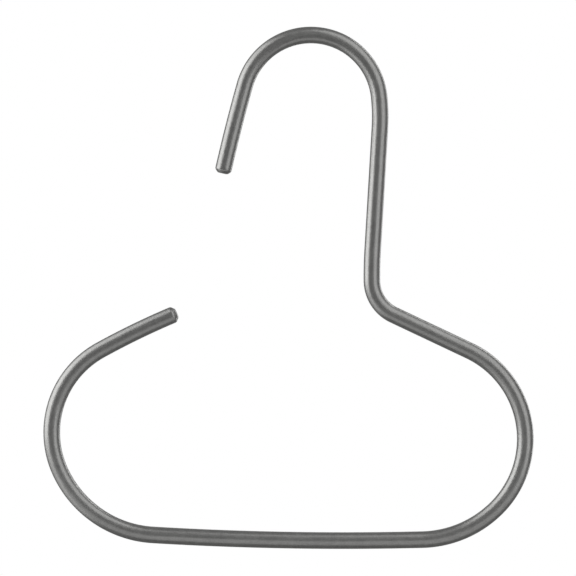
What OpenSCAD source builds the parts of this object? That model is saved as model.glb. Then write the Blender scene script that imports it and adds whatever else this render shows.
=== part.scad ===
// Hat hanger hook: one round steel bar with chamfered ends, bent in a single plane into an open
// hook that goes over a rail and, below it, an open loop for the hat.
//
// It hangs in the XZ plane, +Z up, with the hook's nose and the free arm towards -X. The origin
// is the underside of the hook's crown, where the hook rests on the rail.
//
// The bar is described as a bender sets it up: a run of straights and bends, each starting where
// the last one ends. Radii are to the middle of the bar and angles are in degrees.

/* [Bar] */
// Diameter of the round bar
bar_d = 6; // [4:0.5:8]
// Width of the 45 degree chamfer round the hook's tip
nose_chamfer = 1.2; // [0.2:0.1:1.8]
// Width of the 45 degree chamfer round the free arm's tip
arm_chamfer = 1.4; // [0.2:0.1:1.8]
// Rounding of both edges of the chamfers
edge_r = 1.2; // [0.1:0.1:1.5]

/* [Hook] */
// Bend radius of the hook
hook_r = 24.7; // [14:0.1:40]
// Length of the nose, from the end of the hook's bend to the tip
nose_l = 32.8; // [10:0.1:60]
// Lean of the nose where it leaves the bend, its tip outwards
nose_lean = 15.7; // [0:0.1:35]
// Slight bend along the nose, back towards upright
nose_bow = 3; // [0:0.1:8]

/* [Shank] */
// Length of the straight shank
shank_l = 43.7; // [25:0.1:120]
// Lean of the shank, its foot inwards
shank_lean = 3.4; // [0:0.1:12]
// Radius of the easy bend from the hook into the shank
hook_ease_r = 70; // [40:1:150]
// Part of the hook's turn that this easy bend takes
hook_ease = 9.5; // [2:0.1:25]

/* [Neck and shoulder] */
// Bend radius of the neck, between the shank and the shoulder
neck_r = 13.8; // [8:0.1:25]
// Radius of the easy bend from the shank into the neck
neck_ease_r = 160; // [60:1:200]
// Part of the neck's turn that this easy bend takes
neck_ease = 4; // [1:0.1:15]
// Length of the straight shoulder
shoulder_l = 30.1; // [15:0.1:80]
// Slope of the shoulder, down and away from the neck
shoulder_slope = 25.3; // [10:0.1:45]

/* [Loop] */
// Bend radius of the loop's shank end
near_end_r = 35.1; // [25:0.1:60]
// Bend radius of the loop's far end, under the hook's nose
far_end_r = 33.8; // [25:0.1:60]
// Radius of the wider bends that run into the base at both ends
base_corner_r = 39.2; // [25:0.1:80]
// Part of the shank end's turn that its wider bend takes
near_corner = 42.9; // [10:0.1:80]
// Part of the far end's turn that its wider bend takes
far_corner = 62.4; // [10:0.1:80]
// Length of the base
base_l = 97.1; // [60:0.1:160]
// Slope of the base at the shank end, down towards the far end
base_slope = 1.4; // [0:0.1:5]
// Sag of the base, as the turn along it
base_bow = 4.8; // [0:0.1:12]

/* [Free arm] */
// Length of the free arm, from the end of the loop's bend to the tip
arm_l = 30.7; // [10:0.1:60]
// Slope of the free arm where it leaves the bend, up towards the tip
arm_slope = 28.9; // [10:0.1:45]
// Slight bend along the free arm, back towards level
arm_bow = 6; // [0:0.1:15]

/* [Hidden] */
// Facets round the bar, the fewest along a bend, and those across a rounded edge
$fn = 96;
BEND_FACETS = 24;
EDGE_FACETS = 4;
STEEL = [0.56, 0.56, 0.55];
QUARTER = 90;
HALF = 180;

// The bar is laid out in metres and enlarged to millimetres as a whole, so that rounding at the
// joints between its stretches stays far too small to open one.
MM = 1 / 1000;

// A stretch of bar is [radius, turn] for a bend, a left turn being positive, or [length, 0].
function straight(length) = [length, 0];
function bend(radius, turn) = [radius, turn];
function bow(length, turn) = turn == 0 ? straight(length) : bend(length / abs(turn) * HALF / PI, turn);

// The rounding of a chamfer's two edges, no larger than the chamfer and the end face leave room
// for, and how far it reaches from each edge
CHAMFER_TURN = QUARTER / 2;
function rounding(chamfer) = min(edge_r, chamfer, bar_d / 2 - chamfer);
function reach(chamfer) = rounding(chamfer) * tan(CHAMFER_TURN / 2);
function tip_l(chamfer) = chamfer + reach(chamfer);

// From the crown, where the bar runs level towards +X, right turns lead round to the free arm.
shank_heading = -QUARTER - shank_lean;
shoulder_heading = -shoulder_slope;
base_heading = base_slope - HALF;
arm_heading = arm_slope - 2 * HALF;
CROWN_TO_SHANK = bend(hook_r, shank_heading + hook_ease);
LOOP_RUN = [
    bend(hook_ease_r, -hook_ease),
    straight(shank_l),
    bend(neck_ease_r, neck_ease),
    bend(neck_r, shoulder_heading - shank_heading - neck_ease),
    straight(shoulder_l),
    bend(near_end_r, base_heading - shoulder_heading + near_corner),
    bend(base_corner_r, -near_corner),
    bow(base_l, -base_bow),
    bend(base_corner_r, -far_corner),
    bend(far_end_r, arm_heading - base_heading + base_bow + far_corner),
    bow(arm_l - tip_l(arm_chamfer), -arm_bow)
];

// Towards -X, left turns lead from the crown down the nose.
CROWN_TO_NOSE = bend(hook_r, QUARTER - nose_lean);
NOSE_RUN = [bow(nose_l - tip_l(nose_chamfer), nose_bow)];

// Lays its children, upright round solids, along +X with their seam facing +Z
module laid_down() {
    rotate([2 * QUARTER, -QUARTER, 0]) children();
}

// The outline of a rounded edge, which turns half a quarter from the bar's side towards its end
function rounded_edge(middle, radius, start) = [
    for (part = [0:EDGE_FACETS])
        let (turn = start + CHAMFER_TURN * part / EDGE_FACETS)
            middle + radius * [cos(turn), sin(turn)]
];

// The end of the bar, from its full section over the chamfer and its rounded edges to the end face
module tip(chamfer) {
    radius = rounding(chamfer);
    face_r = bar_d / 2 - tip_l(chamfer);
    outline = concat(
        [[0, 0]],
        rounded_edge([bar_d / 2 - radius, 0], radius, 0),
        rounded_edge([face_r, tip_l(chamfer) - radius], radius, CHAMFER_TURN),
        [[0, tip_l(chamfer)]]
    );
    laid_down() rotate_extrude() polygon(outline * MM);
}

// Part of a ring of the bar's section, centred on the bend's centre
module ring(radius, start, turn) {
    section_facets = $fn;
    rotate([0, 0, start])
        rotate_extrude(angle = turn, $fn = max($fn, BEND_FACETS * 2 * HALF / abs(turn)))
            translate([radius * MM, 0])
                rotate(QUARTER)
                    circle(d = bar_d * MM, $fn = section_facets);
}

// One stretch, from the origin towards +X
module stretch(row) {
    side = sign(row[1]);
    if (side == 0) laid_down() cylinder(d = bar_d * MM, h = row[0] * MM);
    else translate([0, side * row[0] * MM, 0]) ring(row[0], -side * QUARTER, row[1]);
}

// Moves its children to the end of a stretch, and turns them to run on from it
module at_end_of(row) {
    to_centre = sign(row[1]) * row[0] * MM;
    if (row[1] == 0) translate([row[0] * MM, 0, 0]) children();
    else translate([0, to_centre, 0]) rotate([0, 0, row[1]]) translate([0, -to_centre, 0]) children();
}

// All stretches of a run, one after the other, and the tip that closes it
module run_to_tip(rows, chamfer, i = 0) {
    if (i == len(rows)) tip(chamfer);
    else {
        stretch(rows[i]);
        at_end_of(rows[i]) run_to_tip(rows, chamfer, i + 1);
    }
}

// The hook's arch is one bend, from the nose over the crown to the shank.
module hook_arch() {
    translate([0, -hook_r * MM, 0])
        ring(hook_r, QUARTER + CROWN_TO_SHANK[1], CROWN_TO_NOSE[1] - CROWN_TO_SHANK[1]);
}

module bent_bar() {
    color(STEEL)
        translate([0, 0, bar_d / 2])
            scale(1 / MM)
                rotate([QUARTER, 0, 0]) {
                    hook_arch();
                    at_end_of(CROWN_TO_SHANK) run_to_tip(LOOP_RUN, arm_chamfer);
                    rotate([0, 0, HALF]) at_end_of(CROWN_TO_NOSE) run_to_tip(NOSE_RUN, nose_chamfer);
                }
}

bent_bar();
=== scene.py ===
"""Hat hanger hook: a satin steel bar bent into a rail hook over an open loop, in a plain studio.

Everything is in metres, +Z up. The bar lies in the XZ plane with the hook's nose and the free
arm towards -X, and the origin is the underside of the hook's crown.
"""
import math

import bmesh
import bpy
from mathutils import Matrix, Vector


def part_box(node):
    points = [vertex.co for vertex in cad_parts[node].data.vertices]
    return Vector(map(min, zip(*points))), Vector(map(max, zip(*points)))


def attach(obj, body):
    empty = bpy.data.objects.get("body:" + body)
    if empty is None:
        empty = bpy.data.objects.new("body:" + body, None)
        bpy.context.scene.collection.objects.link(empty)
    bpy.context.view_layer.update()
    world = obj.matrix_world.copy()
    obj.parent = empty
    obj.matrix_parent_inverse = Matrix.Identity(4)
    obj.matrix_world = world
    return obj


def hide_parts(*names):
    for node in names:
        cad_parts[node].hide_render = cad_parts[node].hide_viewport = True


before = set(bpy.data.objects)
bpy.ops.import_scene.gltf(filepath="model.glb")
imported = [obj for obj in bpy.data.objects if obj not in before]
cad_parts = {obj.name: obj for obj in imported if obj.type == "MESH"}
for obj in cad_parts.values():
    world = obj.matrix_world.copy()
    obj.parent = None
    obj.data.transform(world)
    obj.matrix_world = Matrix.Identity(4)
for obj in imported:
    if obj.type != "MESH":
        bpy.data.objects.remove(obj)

bl_info = {
    "name": "Hat hanger hook",
    "version": (1, 0, 0),
    "blender": (4, 5, 0),
    "location": "3D View > Sidebar > Hat Hook",
    "description": "Builds a bent steel hat hanger hook and the plain studio it hangs in",
    "category": "Add Mesh",
}

NODE = "bent_bar"
MM = 0.001
QUARTER = math.pi / 2


# Kinds of property -------------------------------------------------------------------------


def size(name, description, millimetres):
    """A length, written here in millimetres."""
    return bpy.props.FloatProperty(
        name=name,
        description=description,
        default=millimetres * MM,
        min=0.0,
        unit="LENGTH",
        subtype="DISTANCE",
    )


def angle(name, description, degrees):
    """An angle, written here in degrees."""
    return bpy.props.FloatProperty(
        name=name,
        description=description,
        default=math.radians(degrees),
        unit="ROTATION",
        subtype="ANGLE",
    )


def share(name, description, value):
    """A number from 0 to 1."""
    return bpy.props.FloatProperty(
        name=name,
        description=description,
        default=value,
        min=0.0,
        max=1.0,
        subtype="FACTOR",
    )


def amount(name, description, value):
    """A plain number, such as a brightness."""
    return bpy.props.FloatProperty(
        name=name, description=description, default=value, min=0.0
    )


def colour(name, description, value):
    """A linear RGB colour."""
    return bpy.props.FloatVectorProperty(
        name=name,
        description=description,
        default=value,
        size=3,
        min=0.0,
        max=1.0,
        subtype="COLOR",
    )


def count(name, description, value, lowest):
    """A whole number."""
    return bpy.props.IntProperty(
        name=name, description=description, default=value, min=lowest
    )


# Settings ----------------------------------------------------------------------------------


class BarSettings(bpy.types.PropertyGroup):
    """Sizes of the bent bar. Radii are to the middle of the bar."""

    bar_d: size("Bar diameter", "Diameter of the round bar", 6)
    nose_chamfer: size("Nose chamfer", "Width of the chamfer round the hook's tip", 1.2)
    arm_chamfer: size("Arm chamfer", "Width of the chamfer round the free arm's tip", 1.4)
    edge_r: size("Edge rounding", "Rounding of both edges of the chamfers", 1.2)

    hook_r: size("Hook radius", "Bend radius of the hook", 24.7)
    nose_l: size("Nose length", "Length of the nose, from the hook's bend to the tip", 32.8)
    nose_lean: angle("Nose lean", "Lean of the nose where it leaves the bend", 15.7)
    nose_bow: angle("Nose bow", "Slight bend along the nose, back towards upright", 3)

    shank_l: size("Shank length", "Length of the straight shank", 43.7)
    shank_lean: angle("Shank lean", "Lean of the shank, its foot inwards", 3.4)
    hook_ease_r: size("Hook easing radius", "Radius of the easy bend into the shank", 70)
    hook_ease: angle("Hook easing", "Part of the hook's turn in that easy bend", 9.5)

    neck_r: size("Neck radius", "Bend radius between the shank and the shoulder", 13.8)
    neck_ease_r: size("Neck easing radius", "Radius of the easy bend into the neck", 160)
    neck_ease: angle("Neck easing", "Part of the neck's turn in that easy bend", 4)
    shoulder_l: size("Shoulder length", "Length of the straight shoulder", 30.1)
    shoulder_slope: angle("Shoulder slope", "Slope of the shoulder, down from the neck", 25.3)

    near_end_r: size("Near end radius", "Bend radius of the loop's shank end", 35.1)
    far_end_r: size("Far end radius", "Bend radius of the loop's far end", 33.8)
    base_corner_r: size("Base corner radius", "Radius of the bends into the base", 39.2)
    near_corner: angle("Near corner", "Part of the shank end's turn in its wider bend", 42.9)
    far_corner: angle("Far corner", "Part of the far end's turn in its wider bend", 62.4)
    base_l: size("Base length", "Length of the base", 97.1)
    base_slope: angle("Base slope", "Slope of the base at the shank end", 1.4)
    base_bow: angle("Base sag", "Sag of the base, as the turn along it", 4.8)

    arm_l: size("Arm length", "Length of the free arm, from the loop's bend to the tip", 30.7)
    arm_slope: angle("Arm slope", "Slope of the free arm where it leaves the bend", 28.9)
    arm_bow: angle("Arm bow", "Slight bend along the free arm, back towards level", 6)

    sides: count("Sides", "Faces round the bar", 64, 12)
    step: size("Step", "Longest distance between two rings of the mesh", 0.6)
    edge_steps: count("Edge steps", "Faces across each rounded chamfer edge", 10, 1)
    face_rings: count("Face rings", "Rings on each end face", 4, 1)


class FinishSettings(bpy.types.PropertyGroup):
    """Satin steel, blasted after bending."""

    dark: colour("Dark steel", "Reflectance of the darkest spots", (0.29, 0.29, 0.284))
    light: colour("Light steel", "Reflectance of the lightest spots", (0.39, 0.39, 0.382))
    roughness: share("Roughness", "Mean roughness of the blasted surface", 0.32)
    roughness_spread: share("Roughness spread", "How far the roughness strays from it", 0.03)
    patch: size("Patch size", "Size of the faint cloudy patches", 2.2)
    patch_tone: share("Patch tone", "How much the patches change the colour", 0.5)
    grain: size("Grain size", "Size of the blasting's pits", 0.5)
    grain_tone: share("Grain tone", "How much the pits change the colour", 1.0)
    grain_depth: size("Grain depth", "Depth of the pits", 0.05)
    drawn: size("Drawn line width", "Width of the faint lines left along the bar by drawing", 0.35)
    drawn_length: amount("Drawn line length", "Length of those lines in widths", 40)
    drawn_tone: share("Drawn line tone", "How much those lines change the colour", 0.4)
    drawn_depth: size("Drawn line depth", "Depth of those lines", 0.002)
    contrast: share("Contrast", "How far the tones spread between dark and light", 0.25)
    facing: size("Facing pitch", "Distance between the turned rings on the end faces", 0.16)
    facing_depth: size("Facing depth", "Depth of those rings", 0.006)
    facing_skin: size("Facing skin", "How far below an end face its rings still show", 0.07)


class StageSettings(bpy.types.PropertyGroup):
    """The studio: camera, tent, lamps, floor and background."""

    view_x: size("View centre X", "How far left of the origin the camera's axis passes", 8.23)
    view_z: size("View centre Z", "How far below the origin the camera's axis passes", 88.06)
    distance: size("Camera distance", "From the camera to the bar's plane", 1000)
    view_w: size("View width", "Width of the picture at the bar's plane", 207.36)
    tent_r: size("Tent radius", "Radius of the grey cloth tent round the set", 1900)
    tent_opening: angle("Tent opening", "Half angle of the opening behind the set", 20)
    tent_low: amount("Tent below", "Brightness of the tent's underside", 0.23)
    tent_high: amount("Tent above", "Brightness of the tent's roof", 0.31)
    around: amount("Light all round", "Brightness of the background as a light", 0.35)

    key_away: size("Key distance", "From the middle of the set to the lamp", 740)
    key_side: angle("Key side", "Round from the camera, to the right", -80)
    key_height: angle("Key height", "Up from level", 25)
    key_w: angle("Key width", "As wide as it looks from the set", 64)
    key_h: angle("Key tallness", "As tall as it looks from the set", 74)
    key_power: amount("Key brightness", "1 shows white as white", 1.22)

    fill_away: size("Fill distance", "From the middle of the set to the lamp", 740)
    fill_side: angle("Fill side", "Round from the camera, to the right", -85)
    fill_height: angle("Fill height", "Up from level", -7)
    fill_w: angle("Fill width", "As wide as it looks from the set", 58)
    fill_h: angle("Fill tallness", "As tall as it looks from the set", 92)
    fill_power: amount("Fill brightness", "1 shows white as white", 0.59)

    front_away: size("Front distance", "From the middle of the set to the lamp", 740)
    front_side: angle("Front side", "Round from the camera, to the right", 48)
    front_height: angle("Front height", "Up from level", 29)
    front_w: angle("Front width", "As wide as it looks from the set", 49)
    front_h: angle("Front tallness", "As tall as it looks from the set", 92)
    front_power: amount("Front brightness", "1 shows white as white", 0.78)

    strip_away: size("Strip distance", "From the middle of the set to the lamp", 740)
    strip_side: angle("Strip side", "Round from the camera, to the right", 135)
    strip_height: angle("Strip height", "Up from level", 15)
    strip_w: angle("Strip width", "As wide as it looks from the set", 14)
    strip_h: angle("Strip tallness", "As tall as it looks from the set", 69)
    strip_power: amount("Strip brightness", "1 shows white as white", 2.2)

    low_away: size("Low distance", "From the middle of the set to the lamp", 200)
    low_side: angle("Low side", "Round from the camera, to the right", 5)
    low_height: angle("Low height", "Up from level", -52)
    low_w: angle("Low width", "As wide as it looks from the set", 130)
    low_h: angle("Low tallness", "As tall as it looks from the set", 44)
    low_power: amount("Low brightness", "1 shows white as white", 0.34)

    floor_drop: size("Floor drop", "From the middle of the set down to the floor", 2000)
    floor_w: size("Floor width", "Width of the square floor", 5000)
    floor_shade: share("Floor shade", "How pale the floor is", 0.8)


# The bar -----------------------------------------------------------------------------------


def straight(length):
    """A stretch of bar is its length and its turn, a left turn being positive."""
    return (length, 0.0)


def bend(radius, turn):
    return (radius * abs(turn), turn)


def loop_run(bar):
    """The stretches from the crown down the shank and round the loop to the free arm's tip."""
    shank_heading = -QUARTER - bar.shank_lean
    shoulder_heading = -bar.shoulder_slope
    base_heading = bar.base_slope - 2 * QUARTER
    arm_heading = bar.arm_slope - 4 * QUARTER
    near_end_turn = base_heading - shoulder_heading + bar.near_corner
    far_end_turn = arm_heading - base_heading + bar.base_bow + bar.far_corner
    return [
        bend(bar.hook_r, shank_heading + bar.hook_ease),
        bend(bar.hook_ease_r, -bar.hook_ease),
        straight(bar.shank_l),
        bend(bar.neck_ease_r, bar.neck_ease),
        bend(bar.neck_r, shoulder_heading - shank_heading - bar.neck_ease),
        straight(bar.shoulder_l),
        bend(bar.near_end_r, near_end_turn),
        bend(bar.base_corner_r, -bar.near_corner),
        (bar.base_l, -bar.base_bow),
        bend(bar.base_corner_r, -bar.far_corner),
        bend(bar.far_end_r, far_end_turn),
        (bar.arm_l - bar.arm_chamfer, -bar.arm_bow),
        straight(bar.arm_chamfer),
    ]


def nose_run(bar):
    """The stretches from the crown to the nose's tip."""
    return [
        bend(bar.hook_r, QUARTER - bar.nose_lean),
        (bar.nose_l - bar.nose_chamfer, bar.nose_bow),
        straight(bar.nose_chamfer),
    ]


def place_after(point, heading, length, turn):
    """Where a stretch that starts at point ends, and its heading there."""
    if turn == 0:
        return point + Vector((math.cos(heading), math.sin(heading))) * length, heading
    radius = length / turn
    end = heading + turn
    across = Vector((math.sin(end) - math.sin(heading), math.cos(heading) - math.cos(end)))
    return point + across * radius, end


def walk(start, heading, stretches, step):
    """Stations along a run, as (point, heading, distance walked), at most step apart."""
    stations = [(start, heading, 0.0)]
    walked = 0.0
    for length, turn in stretches:
        parts = math.ceil(length / step)
        for part in range(1, parts + 1):
            done = part / parts
            point, direction = place_after(start, heading, length * done, turn * done)
            stations.append((point, direction, walked + length * done))
        start, heading = place_after(start, heading, length, turn)
        walked += length
    return stations


def bar_stations(bar):
    """Stations from the nose's tip over the crown to the free arm's tip."""
    crown = Vector((0.0, bar.bar_d / 2))
    to_nose = walk(crown, 2 * QUARTER, nose_run(bar), bar.step)
    to_arm = walk(crown, 0.0, loop_run(bar), bar.step)
    nose_length = to_nose[-1][2]
    from_nose = [(p, h - 2 * QUARTER, nose_length - s) for p, h, s in reversed(to_nose)]
    return from_nose + [(p, h, nose_length + s) for p, h, s in to_arm[1:]]


def tip_profile(radius, chamfer, edge, steps, rings):
    """(depth, radius) pairs from the end face's middle out over the chamfer to the bar's side."""
    edge = min(edge, chamfer, radius - chamfer)
    reach = edge * math.tan(QUARTER / 4)
    face_r = radius - chamfer - reach
    profile = [(0.0, face_r * ring / rings) for ring in range(1, rings)]
    for part in range(steps + 1):
        slope = QUARTER * (1 - part / steps / 2)
        profile.append((edge - edge * math.sin(slope), face_r + edge * math.cos(slope)))
    for part in range(steps + 1):
        slope = QUARTER / 2 * (1 - part / steps)
        depth = chamfer + reach - edge * math.sin(slope)
        profile.append((depth, radius - edge + edge * math.cos(slope)))
    return profile


def place_on(stations, distance):
    """The point and heading at a distance along the bar."""
    for (point, heading, here), (far_point, far_heading, there) in zip(stations, stations[1:]):
        if distance <= there:
            part = (distance - here) / (there - here)
            return point.lerp(far_point, part), heading + (far_heading - heading) * part
    return stations[-1][0], stations[-1][1]


def bar_rings(bar):
    """Rings of the mesh, as (point, heading, distance along the bar, radius).

    Stations that lie over a tip, or too near its last ring, give way to the tip's own rings.
    """
    stations = bar_stations(bar)
    radius = bar.bar_d / 2
    total = stations[-1][2]
    nose = tip_profile(radius, bar.nose_chamfer, bar.edge_r, bar.edge_steps, bar.face_rings)
    arm = tip_profile(radius, bar.arm_chamfer, bar.edge_r, bar.edge_steps, bar.face_rings)
    rings = [(*place_on(stations, depth), depth, r) for depth, r in nose]
    spare = bar.step / 4
    first = nose[-1][0] + spare
    last = total - arm[-1][0] - spare
    rings += [(p, h, s, radius) for p, h, s in stations if first < s < last]
    rings += [(*place_on(stations, total - depth), total - depth, r) for depth, r in reversed(arm)]
    return rings


def bar_mesh(bar):
    """The bar's mesh. Its "unbent" attribute holds each point's place on the bar before bending."""
    mesh = bmesh.new()
    unbent = mesh.verts.layers.float_vector.new("unbent")

    def add_point(point, heading, distance, across, forward):
        x = point.x - math.sin(heading) * across
        z = point.y + math.cos(heading) * across
        vertex = mesh.verts.new((x, forward, z))
        vertex[unbent] = (distance, forward, across)
        return vertex

    loops = []
    rings = bar_rings(bar)
    turns = [4 * QUARTER * side / bar.sides for side in range(bar.sides)]
    for point, heading, distance, radius in rings:
        loops.append(
            [
                add_point(point, heading, distance, radius * math.cos(t), radius * math.sin(t))
                for t in turns
            ]
        )
    for near, far in zip(loops, loops[1:]):
        for side in range(bar.sides):
            after = (side + 1) % bar.sides
            mesh.faces.new((near[side], near[after], far[after], far[side]))
    for ring, loop in ((rings[0], loops[0]), (rings[-1], loops[-1])):
        middle = add_point(*ring[:3], 0.0, 0.0)
        for side in range(bar.sides):
            mesh.faces.new((middle, loop[side], loop[(side + 1) % bar.sides]))
    bmesh.ops.recalc_face_normals(mesh, faces=mesh.faces)
    for face in mesh.faces:
        face.smooth = True
    made = bpy.data.meshes.new(NODE)
    mesh.to_mesh(made)
    mesh.free()
    return made


# The finish --------------------------------------------------------------------------------


def scaled(tree, vector, factors):
    """The vector multiplied by a factor for each axis."""
    node = tree.nodes.new("ShaderNodeVectorMath")
    node.operation = "MULTIPLY"
    node.inputs[1].default_value = factors
    tree.links.new(vector, node.inputs[0])
    return node.outputs[0]


def noise(tree, vector, detail):
    """Cloudy noise with features about one unit wide."""
    node = tree.nodes.new("ShaderNodeTexNoise")
    node.inputs["Scale"].default_value = 1.0
    node.inputs["Detail"].default_value = detail
    tree.links.new(vector, node.inputs["Vector"])
    return node.outputs["Fac"]


def remap(tree, value, source, target):
    """The value moved from one range to another and held inside it."""
    node = tree.nodes.new("ShaderNodeMapRange")
    node.inputs["From Min"].default_value = source[0]
    node.inputs["From Max"].default_value = source[1]
    node.inputs["To Min"].default_value = target[0]
    node.inputs["To Max"].default_value = target[1]
    tree.links.new(value, node.inputs["Value"])
    return node.outputs["Result"]


def calculate(tree, operation, first, second=0.0):
    """One step of arithmetic; second is a socket or a number."""
    node = tree.nodes.new("ShaderNodeMath")
    node.operation = operation
    tree.links.new(first, node.inputs[0])
    if isinstance(second, (int, float)):
        node.inputs[1].default_value = second
    else:
        tree.links.new(second, node.inputs[1])
    return node.outputs[0]


def bump(tree, height, depth, before=None):
    """Bumps of a depth in metres, on top of those before."""
    node = tree.nodes.new("ShaderNodeBump")
    node.inputs["Strength"].default_value = 1.0
    node.inputs["Distance"].default_value = depth
    tree.links.new(height, node.inputs["Height"])
    if before is not None:
        tree.links.new(before, node.inputs["Normal"])
    return node.outputs["Normal"]


def facing_rings(tree, place, finish, length):
    """Height of the turned rings, which only the two end faces have."""
    from_axis = tree.nodes.new("ShaderNodeVectorMath")
    from_axis.operation = "LENGTH"
    tree.links.new(scaled(tree, place, (0.0, 1.0, 1.0)), from_axis.inputs[0])
    turns = calculate(tree, "MULTIPLY", from_axis.outputs["Value"], 4 * QUARTER / finish.facing)
    along = tree.nodes.new("ShaderNodeSeparateXYZ")
    tree.links.new(place, along.inputs[0])
    from_middle = calculate(tree, "SUBTRACT", along.outputs["X"], length / 2)
    face = (length / 2 - finish.facing_skin, length / 2 - finish.facing_skin / 2)
    on_face = remap(tree, calculate(tree, "ABSOLUTE", from_middle), face, (0.0, 1.0))
    return calculate(tree, "MULTIPLY", calculate(tree, "SINE", turns), on_face)


def mixed_tone(tree, finish, patches, pits, lines):
    """How light each spot is, from 0 for dark steel to 1 for light steel."""
    shares = ((patches, finish.patch_tone), (pits, finish.grain_tone), (lines, finish.drawn_tone))
    tone = None
    for pattern, weight in shares:
        weighted = calculate(tree, "MULTIPLY", pattern, weight)
        tone = weighted if tone is None else calculate(tree, "ADD", tone, weighted)
    middle = sum(weight for _, weight in shares) / 2
    return remap(tree, tone, (middle - finish.contrast, middle + finish.contrast), (0.0, 1.0))


def satin_steel(finish, length):
    """Blasted satin steel: fine pits over faint drawn lines, with a slightly cloudy sheen."""
    material = bpy.data.materials.new("satin_steel")
    material.use_nodes = True
    tree = material.node_tree
    steel = tree.nodes["Principled BSDF"]
    steel.inputs["Metallic"].default_value = 1.0
    unbent = tree.nodes.new("ShaderNodeAttribute")
    unbent.attribute_name = "unbent"
    place = unbent.outputs["Vector"]

    patches = noise(tree, scaled(tree, place, (1 / finish.patch,) * 3), 3.0)
    pits = noise(tree, scaled(tree, place, (1 / finish.grain,) * 3), 2.0)
    lines_across = 1 / finish.drawn
    lines_along = lines_across / finish.drawn_length
    lines = noise(tree, scaled(tree, place, (lines_along, lines_across, lines_across)), 2.0)

    tint = tree.nodes.new("ShaderNodeMix")
    tint.data_type = "RGBA"
    tint.inputs["A"].default_value = (*finish.dark, 1.0)
    tint.inputs["B"].default_value = (*finish.light, 1.0)
    tone = mixed_tone(tree, finish, patches, pits, lines)
    tree.links.new(tone, tint.inputs["Factor"])
    tree.links.new(tint.outputs["Result"], steel.inputs["Base Color"])

    spread = finish.roughness_spread
    lowest = finish.roughness - spread
    highest = finish.roughness + spread
    sheen = calculate(tree, "ADD", patches, lines)
    usual_sheen = (0.7, 1.3)
    roughness = remap(tree, sheen, usual_sheen, (lowest, highest))
    tree.links.new(roughness, steel.inputs["Roughness"])

    surface = bump(tree, pits, finish.grain_depth)
    surface = bump(tree, lines, finish.drawn_depth, surface)
    rings = facing_rings(tree, place, finish, length)
    surface = bump(tree, rings, finish.facing_depth, surface)
    tree.links.new(surface, steel.inputs["Normal"])
    return material


class HATHOOK_OT_bent_bar(bpy.types.Operator):
    """Build the bent bar, with its rounded chamfers and its satin finish"""

    bl_idname = "hathook.bent_bar"
    bl_label = "Bent bar"

    def execute(self, context):
        bar = context.scene.hathook_bar
        mesh = bar_mesh(bar)
        piece = bpy.data.objects.new("satin_bar", mesh)
        context.scene.collection.objects.link(piece)
        length = bar_stations(bar)[-1][2]
        mesh.materials.append(satin_steel(context.scene.hathook_finish, length))
        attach(piece, "root")
        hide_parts(NODE)
        self.compare_with_frame(piece)
        return {"FINISHED"}

    def compare_with_frame(self, piece):
        """Stops the build if the bar isn't where the frame has it."""
        tolerance = 0.1 * MM
        corners = [Vector(corner) for corner in piece.bound_box]
        lowest = Vector(map(min, *corners))
        highest = Vector(map(max, *corners))
        frame_lowest, frame_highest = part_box(NODE)
        gap = max((lowest - frame_lowest).length, (highest - frame_highest).length)
        if gap > tolerance:
            raise RuntimeError(f"the bar is {gap / MM:.2f} mm away from its place in the frame")


# The stage ---------------------------------------------------------------------------------


def direction(side, height):
    """Unit vector from the set: side 0 is towards the camera and a quarter turn is to the right."""
    level = math.cos(height)
    return Vector((math.sin(side) * level, -math.cos(side) * level, math.sin(height)))


def seen_directly_or_mirrored(tree):
    """1 for rays from the camera, a mirror or a pane, and 0 for rays that only light."""
    path = tree.nodes.new("ShaderNodeLightPath")
    seen = calculate(tree, "MAXIMUM", path.outputs["Is Camera Ray"], path.outputs["Is Glossy Ray"])
    return calculate(tree, "MAXIMUM", seen, path.outputs["Is Transmission Ray"])


def add_softbox(scene, name, middle, settings):
    """A rectangular lamp facing the set. Its settings are those that start with its name."""
    away, side, height, width_angle, height_angle, brightness = (
        getattr(settings, name + ending)
        for ending in ("_away", "_side", "_height", "_w", "_h", "_power")
    )
    lamp = bpy.data.lights.new(name + "_softbox", "AREA")
    lamp.shape = "RECTANGLE"
    lamp.size = 2 * away * math.tan(width_angle / 2)
    lamp.size_y = 2 * away * math.tan(height_angle / 2)
    lamp.energy = brightness * math.pi * lamp.size * lamp.size_y
    holder = bpy.data.objects.new(lamp.name, lamp)
    facing = direction(side, height)
    holder.location = middle + facing * away
    holder.rotation_euler = facing.to_track_quat("Z", "Y").to_euler()
    holder.visible_camera = False
    scene.collection.objects.link(holder)


def tent_cloth(settings):
    """Cloth that glows a plain grey, a little brighter towards the tent's roof."""
    material = bpy.data.materials.new("tent_cloth")
    material.use_nodes = True
    tree = material.node_tree
    tree.nodes.clear()
    place = tree.nodes.new("ShaderNodeTexCoord")
    axes = tree.nodes.new("ShaderNodeSeparateXYZ")
    tree.links.new(place.outputs["Object"], axes.inputs[0])
    span = (-settings.tent_r, settings.tent_r)
    shade = remap(tree, axes.outputs["Z"], span, (settings.tent_low, settings.tent_high))
    glow = tree.nodes.new("ShaderNodeEmission")
    tree.links.new(shade, glow.inputs["Strength"])
    output = tree.nodes.new("ShaderNodeOutputMaterial")
    tree.links.new(glow.outputs[0], output.inputs["Surface"])
    return material


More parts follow.
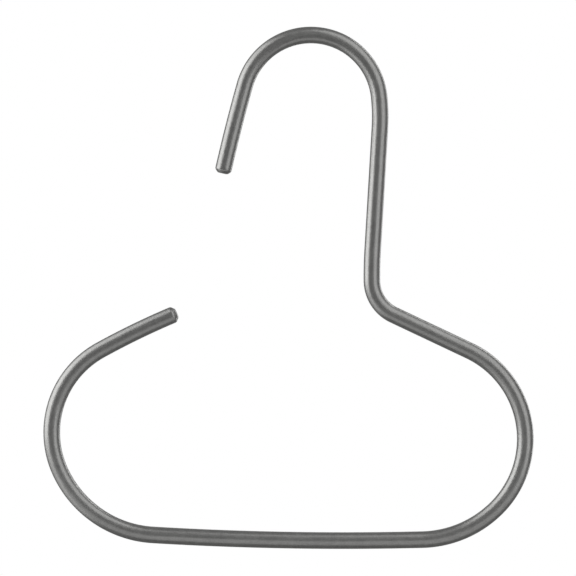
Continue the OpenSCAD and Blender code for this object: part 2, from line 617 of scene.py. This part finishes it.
def add_tent(scene, middle, settings):
    """A grey cloth tent, open behind the set. The steel mirrors it, and the camera stands in it."""
    mesh = bmesh.new()
    bmesh.ops.create_uvsphere(mesh, u_segments=48, v_segments=24, radius=settings.tent_r)
    mouth = settings.tent_r * math.cos(settings.tent_opening)
    behind = [face for face in mesh.faces if face.calc_center_median().y > mouth]
    bmesh.ops.delete(mesh, geom=behind, context="FACES")
    made = bpy.data.meshes.new("tent")
    mesh.to_mesh(made)
    mesh.free()
    made.materials.append(tent_cloth(settings))
    tent = bpy.data.objects.new("tent", made)
    tent.location = middle
    tent.visible_camera = False
    tent.visible_shadow = False
    tent.visible_diffuse = False
    scene.collection.objects.link(tent)


def floor_paint(settings):
    """Pale paint that shows white, and keeps the shadow."""
    material = bpy.data.materials.new("pale_floor")
    material.use_nodes = True
    tree = material.node_tree
    tree.nodes.clear()
    shade = settings.floor_shade
    paint = tree.nodes.new("ShaderNodeBsdfDiffuse")
    paint.inputs["Color"].default_value = (shade, shade, shade, 1.0)
    strength = calculate(tree, "MULTIPLY", seen_directly_or_mirrored(tree), shade)
    glow = tree.nodes.new("ShaderNodeEmission")
    tree.links.new(strength, glow.inputs["Strength"])
    both = tree.nodes.new("ShaderNodeAddShader")
    tree.links.new(paint.outputs[0], both.inputs[0])
    tree.links.new(glow.outputs[0], both.inputs[1])
    output = tree.nodes.new("ShaderNodeOutputMaterial")
    tree.links.new(both.outputs[0], output.inputs["Surface"])
    return material


def add_floor(scene, middle, settings):
    """A plain square floor below the set."""
    half = settings.floor_w / 2
    made = bpy.data.meshes.new("floor")
    corners = [(-half, -half, 0), (half, -half, 0), (half, half, 0), (-half, half, 0)]
    made.from_pydata(corners, [], [(0, 1, 2, 3)])
    made.materials.append(floor_paint(settings))
    floor = bpy.data.objects.new("floor", made)
    floor.location = middle - Vector((0, 0, settings.floor_drop))
    scene.collection.objects.link(floor)


def add_background(scene, settings):
    """A white background, and plain grey light from all round."""
    world = bpy.data.worlds.new("white_background")
    world.use_nodes = True
    tree = world.node_tree
    strength = remap(tree, seen_directly_or_mirrored(tree), (0.0, 1.0), (settings.around, 1.0))
    background = tree.nodes["Background"]
    background.inputs["Color"].default_value = (1.0, 1.0, 1.0, 1.0)
    tree.links.new(strength, background.inputs["Strength"])
    scene.world = world


def add_camera(scene, settings):
    """A long lens, level with the middle of the hanger."""
    camera = bpy.data.cameras.new("camera")
    camera.sensor_width = 36.0
    camera.lens = camera.sensor_width * settings.distance / settings.view_w
    holder = bpy.data.objects.new("camera", camera)
    holder.location = (-settings.view_x, -settings.distance, -settings.view_z)
    holder.rotation_euler = (QUARTER, 0.0, 0.0)
    scene.collection.objects.link(holder)
    scene.camera = holder


class HATHOOK_OT_studio(bpy.types.Operator):
    """Build the studio: camera, softboxes, tent, pale floor and white background"""

    bl_idname = "hathook.studio"
    bl_label = "Studio"

    def execute(self, context):
        scene = context.scene
        settings = scene.hathook_stage
        middle = Vector((-settings.view_x, 0.0, -settings.view_z))
        add_camera(scene, settings)
        for name in ("key", "fill", "front", "strip", "low"):
            add_softbox(scene, name, middle, settings)
        add_tent(scene, middle, settings)
        add_floor(scene, middle, settings)
        add_background(scene, settings)
        scene.view_settings.view_transform = "Standard"
        return {"FINISHED"}


class HATHOOK_PT_sidebar(bpy.types.Panel):
    """Lists the hanger's sizes, finish and studio"""

    bl_label = "Hat Hook"
    bl_idname = "HATHOOK_PT_sidebar"
    bl_space_type = "VIEW_3D"
    bl_region_type = "UI"
    bl_category = "Hat Hook"

    def draw(self, context):
        scene = context.scene
        for operator, settings in (
            (HATHOOK_OT_bent_bar, scene.hathook_bar),
            (None, scene.hathook_finish),
            (HATHOOK_OT_studio, scene.hathook_stage),
        ):
            box = self.layout.box()
            if operator:
                box.operator(operator.bl_idname)
            for name in settings.bl_rna.properties.keys():
                if name not in ("rna_type", "name"):
                    box.prop(settings, name)


SETTINGS = {
    "hathook_bar": BarSettings,
    "hathook_finish": FinishSettings,
    "hathook_stage": StageSettings,
}
CLASSES = (*SETTINGS.values(), HATHOOK_OT_bent_bar, HATHOOK_OT_studio, HATHOOK_PT_sidebar)


def register():
    for cls in CLASSES:
        bpy.utils.register_class(cls)
    for name, group in SETTINGS.items():
        setattr(bpy.types.Scene, name, bpy.props.PointerProperty(type=group))


def unregister():
    for name in SETTINGS:
        delattr(bpy.types.Scene, name)
    for cls in reversed(CLASSES):
        bpy.utils.unregister_class(cls)


def main():
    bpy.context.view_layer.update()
    register()
    bpy.ops.hathook.bent_bar()
    bpy.ops.hathook.studio()


if __name__ == "__main__":
    main()
